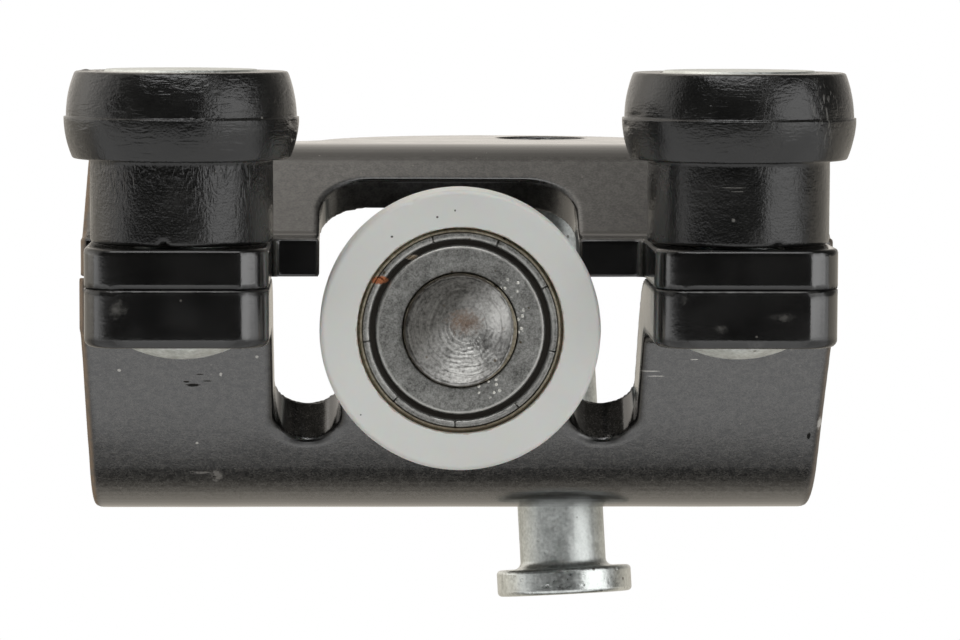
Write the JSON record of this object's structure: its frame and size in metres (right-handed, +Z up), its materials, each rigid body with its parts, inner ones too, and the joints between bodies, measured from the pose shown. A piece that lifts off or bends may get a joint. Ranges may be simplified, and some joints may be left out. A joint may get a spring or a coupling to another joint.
{
  "type": "sliding door roller guide",
  "caption": "Black pressed steel sliding door carriage with plastic guide rollers, a white nylon load wheel on a ball bearing, and a zinc-plated headed pivot pin.",
  "frame": {"origin": "centre of the load wheel, on its axle's axis", "axes": "+X along the rail (right in the picture), +Y from the rail side back to the door side, +Z up"},
  "size_m": [0.0841, 0.067, 0.0632],
  "materials": {
    "black_paint": "satin, worn at the edges",
    "black_plastic": "moulded, scuffed",
    "white_nylon": "smooth, slightly translucent",
    "zinc_plate": "dull zinc plate",
    "axle_steel": "spun, bare steel",
    "bearing_steel": "ground, lightly tarnished",
    "shield_steel": "pressed sheet, matte"
  },
  "bodies": {
    "frame": {"upper_bracket": "black_paint", "lower_bracket": "black_paint", "guide_axle_left": "zinc_plate", "guide_axle_right": "zinc_plate", "wheel_axle": "axle_steel", "bearing_inner_ring": "bearing_steel"},
    "wheel": {"wheel_tyre": "white_nylon", "bearing_outer_ring": "bearing_steel", "bearing_front_shield": "shield_steel", "bearing_rear_shield": "shield_steel"},
    "ball_set": {"bearing_cage_front": "shield_steel", "bearing_cage_rear": "shield_steel", "bearing_ball_1": "bearing_steel", "bearing_ball_2": "bearing_steel", "bearing_ball_3": "bearing_steel", "bearing_ball_4": "bearing_steel", "bearing_ball_5": "bearing_steel", "bearing_ball_6": "bearing_steel", "bearing_ball_7": "bearing_steel"},
    "left_roller": {"guide_roller_left": "black_plastic"},
    "right_roller": {"guide_roller_right": "black_plastic"},
    "pin": {"pivot_pin": "zinc_plate"}
  },
  "joints": [
    {"name": "wheel_spin", "type": "hinge", "parent": "frame", "child": "wheel", "pos_m": [0, 0, 0], "axis": [0, 1, 0], "continuous": true},
    {"name": "ball_set_spin", "type": "hinge", "parent": "frame", "child": "ball_set", "pos_m": [0, 0, 0], "axis": [0, 1, 0], "continuous": true},
    {"name": "left_roller_spin", "type": "hinge", "parent": "frame", "child": "left_roller", "pos_m": [-0.0296, -0.003, 0.0184], "axis": [0, 0, 1], "continuous": true},
    {"name": "right_roller_spin", "type": "hinge", "parent": "frame", "child": "right_roller", "pos_m": [0.0296, -0.003, 0.0184], "axis": [0, 0, 1], "continuous": true},
    {"name": "pin_slide", "type": "slide", "parent": "frame", "child": "pin", "axis": [-0.0518, 0.139, 0.9889], "range_m": [0, 0.0058]}
  ],
  "couplings": [
    {"joint": "ball_set_spin", "follows": "wheel_spin", "ratio": 0.6323}
  ]
}
